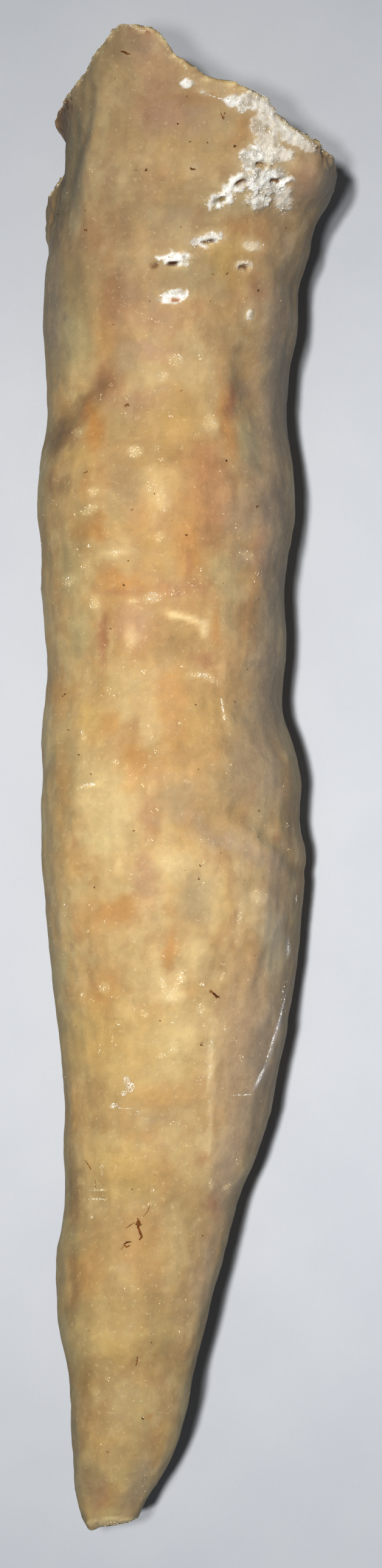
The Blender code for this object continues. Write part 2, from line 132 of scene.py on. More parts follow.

# Soft patches in the stone: (tint, strength, oval)
# The grey and dark ones along the right edge and the brown ones along the left edge of the taper are
# partly the flanks' own colour and partly painted shade on the flanks
PATCHES = [
    # the root, its shoulder and its bowl
    ("pink", 0.45, 225, 70, 40, 40), ("olive", 0.5, 214, 62, 30, 34), ("rust", 0.7, 232, 42, 16, 6),
    ("olive", 0.6, 160, 105, 21, 90, 14), ("olive", 0.6, 190, 60, 16, 40),
    ("green", 0.35, 205, 135, 26, 46), ("rust", 0.5, 262, 150, 44, 52), ("rust", 0.45, 240, 195, 9, 34),
    ("yellow", 0.4, 310, 235, 74, 60), ("orange", 0.55, 400, 215, 18, 42, 12),
    ("green", 0.45, 160, 260, 15, 80, 6), ("olive", 0.75, 120, 255, 20, 95, 8),
    ("brown", 0.6, 104, 250, 9, 70, 8), ("orange", 0.4, 345, 165, 48, 20, 12),
    ("grey", 0.6, 475, 205, 30, 14, 24), ("brown", 0.65, 522, 245, 16, 20),
    ("pink", 0.4, 500, 300, 24, 36), ("grey", 0.6, 545, 310, 20, 50), ("brown", 0.6, 88, 345, 18, 62),
    ("olive", 0.45, 90, 345, 22, 66), ("brown", 0.9, 98, 190, 20, 30), ("dark", 0.6, 106, 172, 7, 9),
    ("dark", 0.4, 100, 300, 5, 9), ("dark", 0.35, 104, 225, 4, 12), ("brown", 0.3, 190, 372, 30, 44),
    ("rust", 0.4, 150, 395, 26, 26), ("orange", 0.42, 172, 525, 20, 62, 4),
    ("rust", 0.4, 196, 490, 36, 66), ("brown", 0.4, 190, 488, 26, 62, 6),
    ("brown", 0.35, 184, 286, 14, 26), ("yellow", 1.0, 378, 425, 38, 46), ("cream", 0.5, 378, 324, 46, 30),
    ("olive", 0.2, 285, 365, 52, 40), ("green", 0.5, 320, 450, 36, 34), ("rust", 0.5, 425, 478, 13, 34),
    ("pink", 0.45, 285, 192, 56, 30), ("orange", 0.45, 402, 372, 40, 22),
    ("orange", 0.35, 398, 440, 26, 30), ("olive", 0.6, 132, 480, 34, 100),
    ("green", 0.6, 120, 560, 30, 62), ("grey", 0.7, 90, 500, 16, 90), ("pink", 0.35, 260, 520, 48, 30),
    ("lilac", 0.55, 206, 586, 24, 30), ("cream", 0.5, 258, 620, 42, 26), ("cream", 0.45, 322, 618, 34, 22),
    ("pink", 0.55, 256, 576, 36, 18), ("olive", 0.35, 400, 560, 50, 60), ("grey", 0.7, 455, 560, 28, 110),
    # the fold and the speckled middle
    ("rust", 0.65, 178, 625, 30, 28, -35), ("orange", 1.0, 156, 704, 20, 32),
    ("rust", 0.8, 142, 672, 10, 20, 10), ("brown", 0.75, 100, 715, 20, 40, 25),
    ("brown", 0.55, 150, 648, 12, 40, 52), ("grey", 0.7, 404, 643, 22, 26),
    ("pink", 0.45, 212, 662, 44, 26), ("green", 0.3, 200, 700, 34, 26),
    ("orange", 0.7, 376, 690, 15, 62, -6), ("rust", 0.75, 381, 664, 8, 26),
    ("yellow", 0.6, 296, 690, 44, 46), ("cream", 0.42, 262, 790, 44, 36),
    ("yellow", 0.65, 132, 752, 17, 24), ("green", 0.85, 410, 722, 18, 50, -14),
    ("grey", 0.75, 450, 690, 32, 90), ("rust", 0.55, 332, 754, 36, 34), ("grey", 0.5, 206, 800, 30, 44),
    ("orange", 0.55, 140, 800, 12, 22), ("brown", 0.6, 92, 796, 17, 22),
    ("orange", 0.85, 148, 868, 30, 22, -10), ("green", 0.45, 196, 845, 24, 26),
    ("cream", 0.5, 196, 912, 36, 24), ("orange", 0.75, 306, 898, 20, 46),
    ("yellow", 0.5, 258, 905, 26, 32), ("rust", 0.5, 350, 858, 22, 34), ("grey", 0.7, 386, 850, 34, 44),
    ("rust", 0.65, 350, 810, 34, 70), ("grey", 0.6, 420, 800, 22, 70), ("grey", 0.9, 452, 825, 24, 62),
    ("dark", 0.15, 454, 828, 18, 52), ("brown", 0.38, 338, 880, 30, 20), ("brown", 0.34, 356, 784, 20, 24),
    ("brown", 0.3, 419, 654, 16, 24), ("olive", 0.4, 122, 880, 36, 130), ("orange", 0.3, 305, 845, 34, 50),
    ("grey", 0.55, 396, 916, 14, 22), ("green", 0.95, 368, 942, 26, 42, -18),
    ("pink", 0.45, 428, 905, 12, 60), ("grey", 0.7, 450, 940, 24, 90), ("green", 0.55, 118, 940, 26, 44),
    ("orange", 0.8, 200, 956, 42, 20, 4), ("orange", 0.3, 278, 1000, 120, 400),
    ("orange", 0.4, 280, 1130, 40, 24), ("orange", 0.5, 178, 1190, 16, 24),
    ("rust", 0.5, 296, 968, 50, 16, -6), ("rust", 0.8, 170, 1050, 9, 42),
    ("green", 0.8, 130, 1045, 22, 50), ("pink", 0.5, 216, 1025, 30, 40),
    ("brown", 0.26, 290, 1060, 52, 32), ("green", 0.4, 378, 1020, 18, 44),
    ("rust", 0.6, 334, 1086, 24, 12), ("brown", 0.35, 410, 1010, 18, 34),
    ("orange", 0.45, 96, 1140, 12, 60), ("cream", 0.55, 215, 1120, 40, 32),
    ("yellow", 0.7, 150, 1180, 26, 40), ("cream", 0.6, 204, 1164, 18, 20),
    ("orange", 0.5, 286, 1180, 28, 62), ("cream", 0.4, 246, 1195, 16, 44),
    ("yellow", 0.45, 350, 1180, 42, 50), ("grey", 0.7, 440, 1100, 30, 120),
    # the belly
    ("orange", 0.75, 218, 1250, 21, 40), ("cream", 0.8, 180, 1320, 54, 62),
    ("orange", 0.55, 105, 1280, 12, 52), ("olive", 0.4, 108, 1280, 24, 90),
    ("cream", 0.9, 164, 1382, 36, 24), ("rust", 0.5, 245, 1335, 20, 40), ("grey", 0.4, 300, 1310, 34, 36),
    ("olive", 0.45, 372, 1290, 40, 42), ("cream", 0.6, 284, 1420, 30, 26),
    ("lilac", 0.65, 385, 1385, 100, 17, 27), ("grey", 0.5, 412, 1250, 45, 100),
    ("grey", 0.55, 450, 1280, 16, 40), ("orange", 0.45, 214, 1290, 16, 20),
    ("pink", 0.55, 236, 1450, 24, 46), ("cream", 0.5, 142, 1465, 30, 20),
    ("orange", 0.75, 190, 1500, 40, 32, -20), ("cream", 0.6, 197, 1466, 24, 14),
    ("orange", 0.7, 280, 1565, 11, 34), ("cream", 0.75, 318, 1566, 26, 34),
    ("yellow", 0.6, 366, 1480, 15, 52), ("cream", 0.55, 350, 1478, 22, 52),
    ("cream", 1.0, 450, 1552, 20, 58), ("grey", 0.45, 322, 1478, 28, 40),
    ("cream", 0.4, 420, 1480, 24, 44), ("green", 0.7, 446, 1532, 16, 36),
    ("bright", 0.45, 453, 1546, 16, 46), ("cream", 0.55, 258, 1595, 14, 40),
    ("orange", 0.5, 176, 1625, 22, 40), ("green", 0.65, 102, 1590, 14, 40),
    ("yellow", 0.5, 150, 1700, 46, 60), ("cream", 0.75, 288, 1700, 36, 60),
    ("lilac", 0.6, 412, 1740, 60, 170, 10), ("grey", 0.8, 428, 1728, 20, 60, 10),
    ("grey", 0.65, 409, 1822, 16, 40, 14), ("cream", 0.35, 250, 1765, 70, 60),
    ("lilac", 0.5, 452, 1500, 26, 90), ("orange", 0.45, 262, 1805, 42, 26),
    ("yellow", 0.4, 215, 1730, 80, 90),
    # the taper and the tip
    ("brown", 0.3, 262, 1840, 34, 16), ("lilac", 0.7, 372, 1930, 26, 90, 12),
    ("orange", 0.4, 130, 1830, 20, 50), ("yellow", 0.6, 210, 1930, 46, 60),
    ("rust", 0.45, 330, 1908, 18, 14), ("rust", 0.5, 352, 1980, 13, 20), ("brown", 0.5, 122, 1960, 11, 80),
    ("brown", 0.5, 122, 2120, 11, 120), ("brown", 0.4, 140, 2300, 11, 100),
    ("green", 0.5, 122, 2035, 12, 30), ("orange", 0.4, 232, 2050, 44, 60),
    ("brown", 0.35, 142, 2100, 10, 17), ("brown", 0.32, 148, 2160, 14, 56),
    ("orange", 0.35, 150, 2090, 26, 44), ("lilac", 0.55, 335, 2090, 22, 80, 14),
    ("yellow", 0.4, 200, 2180, 60, 60), ("olive", 0.35, 265, 2200, 30, 60),
    ("green", 0.35, 130, 2200, 20, 60), ("olive", 0.3, 225, 2330, 50, 60),
    ("rust", 0.55, 164, 2456, 20, 24), ("brown", 1.0, 148, 2509, 20, 12), ("green", 0.5, 185, 2486, 26, 8),
    ("grey", 0.85, 176, 2501, 44, 12), ("lilac", 0.5, 222, 2440, 15, 50, 24),
    ("lilac", 0.5, 114, 2440, 13, 70, -6), ("grey", 0.5, 225, 2450, 17, 50, 24),
    ("grey", 0.4, 128, 2400, 9, 90), ("grey", 0.5, 152, 2440, 22, 40),
]

# Narrow patches with clear edges, in the same way
STREAKS = [
    # The first two and the one at 284, 1012 are the ledge's pale band with a painted highlight along it
    ("bright", 0.62, 305, 1014, 33, 6, 16), ("bright", 0.55, 334, 1034, 8, 13, -12),
    ("bright", 0.48, 346, 1740, 5, 60, 2), ("bright", 0.32, 345, 1860, 4, 50, 2),
    ("chalk", 0.3, 456, 1690, 2.5, 58, 15), ("chalk", 0.4, 428, 1768, 3, 20, 26),
    ("chalk", 0.3, 474, 1555, 2, 16, 4), ("bright", 0.12, 260, 802, 18, 22, -30),
    ("bright", 0.25, 222, 741, 12, 9), ("bright", 0.4, 190, 908, 22, 6, -10),
    ("bright", 0.4, 284, 1636, 22, 10), ("rust", 0.45, 170, 1047, 7, 44), ("rust", 0.6, 310, 925, 5, 26),
    ("orange", 0.5, 281, 1560, 6, 32), ("rust", 0.45, 198, 973, 40, 5, 2),
    ("orange", 0.6, 356, 1030, 7, 32), ("bright", 0.5, 284, 1012, 11, 7),
    ("orange", 0.7, 143, 672, 7, 18, 10), ("rust", 0.6, 381, 668, 6, 28), ("brown", 0.35, 412, 835, 9, 8),
    ("rust", 0.6, 456, 1376, 7, 6), ("orange", 0.8, 247, 2327, 6, 5), ("bright", 0.6, 186, 2496, 40, 4),
    ("lilac", 0.3, 170, 1985, 20, 3), ("rust", 0.5, 262, 52, 22, 4, 10),
]

# Clouds of other tints all over: (tint, size in mm, noise shift, noise level at the edge, strength)
CLOUDS = [
    ("orange", 6.0, 41.0, 0.16, 0.22), ("cream", 6.0, 43.0, 0.05, 0.34), ("green", 5.0, 47.0, 0.24, 0.16),
    ("rust", 3.0, 53.0, 0.26, 0.18), ("bright", 3.4, 59.0, 0.24, 0.16), ("yellow", 2.6, 61.0, 0.18, 0.22),
]
CLOUD_STRETCH = (1.0, 1.4, 1.0)
CLOUD_DETAIL = 0.35
CLOUD_EDGE = 0.22

# How far the patches wander from their ovals, in pixels, and the share of it that streaks do
WANDER_ACROSS = [(9, 3.4, 12.0), (8, 1.3, 2.5), (4, 0.6, 2.0)]
WANDER_DOWN = [(14, 3.4, 15.0), (10, 1.3, 4.5)]
STREAK_WANDER = np.array([[0.25], [0.15]])
# The patches below are the upper face's, turned end for end, moved and with more wander
WANDER_BELOW = 1.6
OTHER_CORNER = np.array([[PICTURE_WIDE], [PICTURE_HIGH]])
SHIFT_BELOW = np.array([[0], [90]])
# Faint lighter and darker spots and streaks
FAINT_LIGHT = [(0.04, 3.2, 31.0), (0.04, 1.3, 33.0), (0.06, 1.2, 35.0, (1.0, 9.0, 1.0))]

# Small relief of the skin, in mm, with ripples along and across the stone
SKIN_RELIEF = [
    (0.20, 6.5, 3.0), (0.12, 3.0, 7.0), (0.055, 1.4, 1.0), (0.07, 1.7, 9.0, (1.0, 7.0, 1.0)),
    (0.05, 1.8, 4.0, (5.0, 1.0, 5.0)),
]

# Grooves and ridges in the skin: (rise in mm, half width in pixels, points in the picture)
FOLDS = [
    (-0.42, 22, [(72, 712), (105, 682), (135, 655), (165, 632), (205, 612)]),
    (-0.45, 13, [(385, 1335), (430, 1365), (470, 1400), (492, 1432)]),
    (-0.50, 18, [(398, 590), (404, 640), (425, 690), (432, 760)]),
    (-0.12, 10, [(156, 968), (200, 972), (236, 966)]), (-0.14, 8, [(168, 1012), (170, 1085)]),
    (-0.25, 7, [(154, 145), (141, 226), (118, 290), (106, 350)]),
    (0.28, 6, [(274, 1008), (300, 1012), (322, 1020), (334, 1042)]),
    (0.25, 4, [(150, 836), (165, 832)]), (0.25, 12, [(250, 770), (262, 830)]),
]

# Torn, crumbly places at the root, as ovals, and their relief
TORN = [(98, 190, 20, 38), (86, 345, 20, 62), (545, 255, 20, 30), (225, 40, 50, 16)]
TORN_FADE = (0.5, 1.2)
TORN_RELIEF = [(0.22, 1.1, 29.0), (0.24, 2.3, 27.0)]

# The faces of broken crystals, (rise, size in mm), how much calmer they are where they look up, how much
# on the tip, and the rim's notches
BREAK_FACETS = [(0.75, 2.6), (0.40, 1.3)]
CALM, CALM_FACES = 0.8, (-0.4, 0.1)
TIP_SHARE = 0.7
INNER_ROUNDS, INNER_FADE = 16, (0.6, 1.0)
RIM_ROUNDS = 7
RIM_RELIEF = [(0.20, 0.8, 19.0), (0.20, 1.7, 39.0)]
# The lump on the tip's break: (picture x, height above the floor in mm, half width in picture pixels,
# half height in mm, rise in mm)
TIP_LUMP = (152, 18.4, 10, 2.2, 1.1)
TIP_LUMP_FACES = (0.1, 0.5)

# The stone inside: its faint growth rings, wandering and mottled, the tan outer layer, the canal in its
# middle, the mottle all over and the pale edge of the root's rim; radii and widths are in mm
FLATNESS = 0.86
RING_WANDER = [(1.6, 7.0, 21.0)]
RING_MOTTLE = [(0.4, 1.6, 23.0)]
RING_STRENGTH = 0.35
RING_PACE, RING_BUNCHING, RING_BUNCHES = 1.3, 2.0, 0.5
INSIDE_MOTTLE = [(0.10, 0.9, 24.0), (0.08, 3.0, 25.0)]
OUTER_STRENGTH, OUTER_LAYER = 0.8, (16.5, 19.0)
CANAL = (0.8, 1.6)
TIP_PALE = 0.35
EDGE_STRENGTH, EDGE_STARTS = 0.65, (0.3, 0.9)
EDGE_GAPS, GAP_FADE = [(1.0, 1.5, 37.0)], (-0.3, 0.3)

# Pits with chalky crust: (tint of the pit, depth in mm, oval)
PITS = [
    ("brown", 0.8, 429, 270, 10, 5), ("brown", 0.8, 395, 301, 12, 5, -24),
    ("brown", 0.6, 453, 298, 12, 5, 10), ("olive", 0.6, 363, 328, 13, 5, -20),
    ("dark", 0.8, 344, 397, 14, 5, -8), ("brown", 0.6, 402, 440, 9, 5), ("dark", 0.8, 286, 433, 12, 5, -4),
    ("brown", 0.5, 254, 437, 7, 5, -30), ("rust", 0.8, 289, 492, 10, 5),
]
PIT_EDGE = [(0.5, 0.8, 6.0)]
PIT_FADE = (0.3, 1.5)
PIT_TINT_FADE = (0.25, 1.0)
NEAR_PIT = 1.2

# Chalky crust: (strength, oval)
CRUST = [
    (0.95, 307, 137, 11, 7, -20), (0.8, 333, 151, 4, 3), (1.0, 385, 166, 17, 10, 8),
    (0.8, 412, 164, 22, 14), (0.72, 438, 176, 20, 20, 40), (0.62, 453, 202, 22, 19, 40),
    (0.55, 425, 205, 14, 18), (0.68, 476, 222, 26, 12, 25), (0.5, 502, 238, 22, 9, 24),
    (0.5, 440, 234, 20, 18), (1.0, 415, 255, 21, 15), (0.65, 450, 254, 30, 13),
    (0.95, 397, 298, 28, 13, -24), (1.0, 438, 296, 38, 22), (0.95, 422, 328, 19, 14),
    (0.55, 466, 325, 14, 24), (1.0, 363, 327, 24, 12, -18), (0.95, 340, 394, 28, 8, -12),
    (0.8, 352, 385, 14, 5), (0.25, 414, 404, 15, 8, 8), (0.35, 402, 435, 14, 7), (0.7, 430, 262, 28, 12),
    (1.0, 287, 424, 26, 9, -4), (0.7, 300, 432, 12, 5), (1.0, 286, 486, 24, 11, -8),
    (0.6, 410, 516, 5, 9, 20), (0.9, 412, 274, 13, 9), (1.0, 441, 313, 14, 8), (0.8, 398, 179, 8, 7),
]
CRUST_EDGE = [(0.8, 1.1, 6.0), (0.7, 0.45, 16.0)]
CRUST_FADE = (0.75, 1.3)
CRUST_RISE = 0.03
CRUST_LUMPS = [(0.36, 1.5, 8.0), (0.14, 0.6, 18.0)]
CRUST_GREY = [(1.0, 0.9, 26.0), (0.8, 2.4, 28.0)]
CRUST_GREY_STRENGTH, CRUST_GREY_FADE = 0.62, (-0.1, 0.5)
LUMP_STEEPNESS = 2.4
# The stone is paler round the crust, and has a painted sheen round groups of at least this many glint
# crystals if not too wide
CRUST_HALO, CRUST_HALO_EDGE = 0.30, 6
GLINT_SHEEN, GLINT_SHEEN_MANY, GLINT_SHEEN_WIDEST = 0.32, 12, 20

# Groups of crystals on the skin, painted near white as glints: (how many, oval)
GLINTS = [
    # round the root and its bowl
    (40, 270, 62, 5, 22, -20), (18, 284, 92, 6, 5), (5, 212, 190, 26, 20), (44, 402, 439, 14, 8),
    (36, 414, 404, 14, 8, 8), (4, 301, 176, 6, 4), (5, 322, 210, 10, 10), (5, 150, 280, 8, 5),
    (8, 410, 348, 12, 8), (9, 225, 512, 30, 2, 24), (12, 262, 530, 22, 2, 20),
    # above and along the fold
    (46, 289, 591, 13, 11), (10, 328, 583, 6, 8), (5, 245, 598, 6, 4), (12, 268, 618, 7, 7),
    (5, 182, 632, 5, 3), (3, 254, 642, 2, 2), (7, 209, 655, 5, 9), (7, 166, 652, 2, 7, 12),
    (6, 206, 680, 7, 4), (6, 279, 685, 6, 4), (3, 327, 643, 4, 2), (34, 347, 695, 13, 15),
    (3, 325, 714, 5, 3), (12, 127, 710, 9, 8), (70, 222, 742, 12, 10), (6, 258, 737, 4, 5),
    (8, 266, 755, 5, 3), (5, 158, 766, 4, 4), (18, 154, 807, 9, 7), (11, 246, 800, 4, 10, -20),
    (11, 263, 808, 4, 10, 24), (11, 254, 804, 14, 12), (20, 268, 826, 10, 16), (5, 313, 801, 9, 3),
    (6, 194, 818, 8, 8), (3, 362, 775, 3, 2), (4, 383, 766, 4, 3), (30, 148, 836, 16, 7, -24),
    (4, 123, 845, 4, 4), (7, 89, 829, 5, 8), (4, 368, 843, 3, 2), (6, 389, 864, 3, 5),
    (14, 405, 912, 13, 7, 30), (12, 262, 882, 8, 10), (5, 172, 878, 7, 6), (6, 146, 896, 4, 4),
    (14, 190, 910, 9, 5), (7, 140, 930, 8, 3), (28, 112, 954, 10, 11), (9, 327, 946, 16, 14),
    (5, 254, 939, 6, 4), (6, 422, 948, 8, 10),
    # above and below the ledge
    (18, 155, 992, 8, 10), (16, 220, 988, 9, 3, 8), (36, 250, 982, 15, 9), (18, 285, 974, 20, 6),
    (7, 318, 958, 12, 8), (14, 215, 1048, 10, 18), (10, 237, 1104, 5, 3), (5, 299, 1095, 2, 2),
    (4, 222, 1086, 5, 3), (16, 318, 1108, 14, 4), (28, 348, 1116, 18, 5, 32), (14, 366, 1160, 2, 12, -8),
    (16, 369, 1179, 3, 4), (7, 176, 1136, 14, 8), (4, 187, 1142, 3, 3), (12, 137, 1208, 3, 10, -12),
    (7, 244, 1192, 4, 4), (8, 250, 1210, 3, 8, -10), (6, 256, 1236, 3, 8, -20), (3, 295, 1188, 3, 2),
    (3, 347, 1186, 3, 3), (10, 376, 1262, 3, 10, 28), (14, 191, 1252, 6, 3), (4, 139, 1251, 3, 2),
    (8, 238, 1259, 7, 3, 10), (6, 216, 1275, 4, 4), (8, 235, 1290, 3, 5), (18, 140, 1292, 15, 3, -12),
    (18, 151, 1290, 6, 3), (8, 258, 1330, 3, 3), (4, 250, 1334, 3, 2), (4, 164, 1321, 4, 3),
    (3, 247, 1380, 4, 2), (5, 335, 1380, 8, 3), (5, 472, 1355, 3, 4), (5, 476, 1398, 4, 5),
    (4, 181, 1427, 3, 4), (3, 218, 1436, 4, 3), (5, 333, 1415, 6, 4),
    # the belly
    (7, 337, 1454, 5, 5), (30, 427, 1474, 15, 12), (26, 395, 1498, 4, 20, 8), (7, 143, 1530, 4, 3),
    (4, 170, 1510, 6, 6), (4, 214, 1482, 5, 4), (5, 270, 1570, 3, 3), (4, 293, 1570, 3, 3),
    (6, 306, 1594, 3, 3), (22, 300, 1608, 7, 7), (5, 366, 1584, 4, 2), (14, 366, 1604, 3, 9, 10),
    (10, 331, 1617, 5, 2), (36, 272, 1626, 4, 21, -20), (40, 291, 1618, 4, 25, 24), (16, 282, 1643, 10, 4),
    (7, 135, 1634, 4, 3), (14, 172, 1624, 9, 8), (18, 236, 1665, 7, 5, 20), (20, 330, 1657, 6, 9),
    (7, 194, 1680, 6, 4, 30), (5, 283, 1682, 4, 4), (7, 335, 1683, 3, 4), (10, 369, 1690, 2, 7),
    (7, 387, 1709, 4, 4), (8, 397, 1738, 4, 6), (9, 187, 1708, 3, 7), (8, 164, 1722, 3, 12),
    (14, 266, 1735, 10, 4), (16, 284, 1718, 10, 14), (7, 327, 1774, 4, 5), (6, 287, 1845, 14, 3),
    # the taper and the tip
    (5, 308, 1880, 6, 4), (9, 168, 1915, 3, 10, 8), (7, 157, 1947, 2, 8, 6), (14, 166, 1955, 12, 2),
    (14, 160, 1970, 18, 2), (7, 251, 1951, 3, 8, 10), (12, 246, 1978, 3, 4), (14, 347, 1945, 3, 10),
    (14, 373, 1950, 9, 3, -30), (7, 390, 1910, 7, 7), (3, 152, 2000, 3, 2), (5, 297, 2187, 3, 3),
    (5, 307, 2137, 3, 3), (6, 176, 2265, 5, 4), (14, 226, 2150, 50, 40), (6, 280, 2315, 5, 10, 20),
    (10, 232, 2444, 10, 28, 20), (30, 190, 2503, 26, 3), (18, 200, 2290, 60, 60),
]
GLINT_SHARE = 1.6
GLINTS_ELSEWHERE = 420
GLINTS_ON_ROOT = 700
GLINTS_ON_TIP = 100

# White chalky lines and dabs: (how many grains, oval)
CHALK_MARKS = [
    (60, 350, 158, 20, 1.2, 18), (110, 462, 1664, 0.9, 30, 14), (120, 445, 1720, 1.2, 26, 18),
    (130, 428, 1768, 2.0, 17, 26), (50, 398, 1799, 22, 0.9, -3), (20, 487, 1476, 0.8, 8, 4),
    (30, 474, 1555, 0.8, 14, 4), (70, 208, 1774, 6, 6), (130, 213, 1786, 8, 8), (60, 204, 1796, 6, 4, -20),
    (60, 188, 1816, 6, 4), (14, 184, 1820, 4, 3), (20, 207, 1821, 16, 0.8, 4), (12, 227, 1827, 4, 3),
    (20, 347, 1722, 4, 12), (24, 344, 1760, 5, 16), (20, 344, 1835, 3, 24, 4), (24, 341, 1785, 13, 40),
    (80, 148, 1289, 10, 2.4, -6), (70, 366, 1163, 1.3, 16, -9), (40, 333, 1110, 9, 4, 10),
    (50, 250, 980, 9, 8), (10, 106, 1500, 3, 18), (18, 465, 1630, 2, 20, 10), (14, 167, 1925, 1.2, 12),
    (22, 158, 1955, 15, 0.8), (22, 161, 1970, 18, 0.8),
]
FROST_DENSITY = 0.5
FROST_EDGE = 5
RIM_GRAINS = 700

# Dark grains: (picture x, y, size across in mm)
SPECKS = [
    (189, 129, 0.3), (366, 192, 0.7), (370, 186, 0.4), (385, 240, 0.7), (318, 278, 0.8), (241, 279, 0.6),
    (341, 234, 0.4), (312, 233, 0.4), (307, 158, 0.35), (292, 203, 0.4), (140, 346, 0.35), (142, 377, 0.8),
    (223, 279, 0.3), (298, 373, 0.3), (373, 450, 0.45), (350, 450, 0.3), (346, 495, 0.35), (187, 533, 0.3),
    (246, 495, 0.3), (210, 665, 0.6), (207, 668, 0.45), (298, 642, 0.35), (372, 757, 0.55),
    (142, 775, 0.55), (139, 776, 0.4), (217, 838, 0.5), (423, 832, 0.6), (306, 879, 0.5), (212, 921, 0.45),
    (203, 961, 0.5), (426, 985, 0.4), (182, 1033, 0.4), (106, 1140, 0.5), (103, 1144, 0.4),
    (385, 1153, 0.5), (322, 1158, 0.35), (112, 1199, 0.45), (129, 1240, 0.45), (149, 1272, 0.45),
    (425, 1332, 0.55), (219, 1365, 0.4), (328, 1422, 0.45), (220, 1437, 0.35), (327, 1444, 0.4),
    (155, 1458, 0.45), (419, 1570, 0.35), (264, 1677, 0.45), (126, 1687, 0.35), (347, 1629, 0.9),
    (351, 1632, 0.5), (358, 1638, 0.9), (331, 1716, 0.7), (228, 2010, 0.9), (217, 1954, 0.3),
    (249, 2206, 0.4), (255, 2226, 0.4), (225, 2236, 0.4), (224, 2241, 0.35), (235, 2331, 0.55),
    (177, 2385, 0.45), (146, 2186, 0.35), (333, 2030, 0.35), (112, 168, 0.8), (116, 174, 0.6),
    (111, 178, 0.6), (117, 163, 0.5), (95, 352, 0.5), (520, 243, 0.8), (531, 257, 0.6), (425, 478, 0.5),
    (412, 520, 0.3), (470, 375, 0.35), (424, 1375, 0.4),
]
SPECK_PARTS = 5
SPECKS_ELSEWHERE = 150

# Nothing is scattered this close to the floor, in mm
CLEAR_OF_FLOOR = 0.6
# Smallest and largest grains, in mm across
FROST_SIZES = (0.07, 0.38)
FINE_FROST_SIZES = (0.07, 0.30)
GLINT_SIZES = (0.07, 0.32)
SPECK_SIZES = (0.08, 0.32)
# The corners of a crystal's eight faces, and how its three half lengths and six corners vary
CRYSTAL_FACES = [(0, 1, 2), (1, 3, 2), (3, 4, 2), (4, 0, 2), (1, 0, 5), (3, 1, 5), (4, 3, 5), (0, 4, 5)]
LONG_HALF = (0.8, 1.3)
SHORT_HALF = (0.6, 1.0)
UNEVEN = (0.7, 1.2)

# Dirt fibres: (thickness in mm, points in the picture)
FIBRES = [
    (0.30, [(199, 84), (204, 85), (209, 88), (214, 89)]),
    (0.12, [(140, 1906), (144, 1912), (148, 1918), (150, 1922)]),
    (0.10, [(157, 1938), (156, 1947), (158, 1954)]),
    (0.34, [(226, 2001), (229, 2008), (227, 2016), (230, 2024), (233, 2032), (229, 2037)]),
    (0.12, [(222, 2008), (214, 2013), (207, 2018)]),
    (0.10, [(247, 1978), (243, 1990), (235, 1999)]),
    (0.26, [(216, 2040), (209, 2041), (204, 2044), (208, 2049), (214, 2046)]),
    (0.16, [(204, 2047), (199, 2053)]),
    (0.14, [(225, 2228), (226, 2236), (223, 2244)]),
    (0.34, [(347, 1629), (352, 1633), (358, 1638)]),
    (0.14, [(210, 664), (205, 667), (212, 661)]),
    (0.24, [(314, 279), (322, 278)]),
    (0.26, [(363, 186), (368, 196)]),
]
FIBRE_SIDES = 5
FIBRE_END = 0.45
FIBRE_LIFT = 0.2
# Stray fibres on the lower half: how many, their thickness, points, step in mm and how much they bend
STRAY_FIBRES = 8
STRAY_THICKNESS = 0.08
STRAY_POINTS = 5
STRAY_STEP = 0.35
STRAY_BEND = 0.5


def sights(points):
    """Where points of the stone, in millimetres, show in the picture: all x, and all y."""
    grow = AWAY / (AWAY - (points[:, 2] - LEVEL)) / PIXEL
    across = PICTURE_WIDE / 2 + (points[:, 0] - EYE_X) * grow
    down = PICTURE_HIGH / 2 - (points[:, 1] - EYE_Y) * grow
    return np.array([across, down])


def eased(values, start, end):
    """0 up to start, 1 from end on, and smooth in between."""
    t = np.clip((values - start) / (end - start), 0.0, 1.0)
    return t * t * (3 - 2 * t)


def noise_at(points, size, shift=0.0, stretch=(1.0, 1.0, 1.0)):
    """Smooth noise from -1 to 1 at each point, with features about one size across."""
    scaled = points / (np.array(stretch) * size) + shift
    return np.array([noise.noise(p) for p in scaled.tolist()])


def layered(points, layers, base=0):
    """Layers of noise at each point, added to a base."""
    return sum((strength * noise_at(points, *layer) for strength, *layer in layers), base)


def oval(sight, x, y, wide, tall, lean=0):
    """Squared distance from the middle of an oval, 1 at its edge."""
    turn = math.radians(lean)
    dx = sight[0] - x
    dy = sight[1] - y
    u = (dx * math.cos(turn) + dy * math.sin(turn)) / wide
    v = (dy * math.cos(turn) - dx * math.sin(turn)) / tall
    return u * u + v * v


def widened(more, x, y, wide, tall, *lean):
    """An oval that reaches some pixels further."""
    return (x, y, wide + more, tall + more, *lean)


# ---------------- the stone's mesh: relief is in millimetres outwards, and shares are from 0 to 1

def fetched(things, name, width, kind=float):
    """One property of all of a mesh's parts, as an array."""
    flat = np.zeros(len(things) * width, dtype=kind)
    things.foreach_get(name, flat)
    return flat.reshape(-1, width)


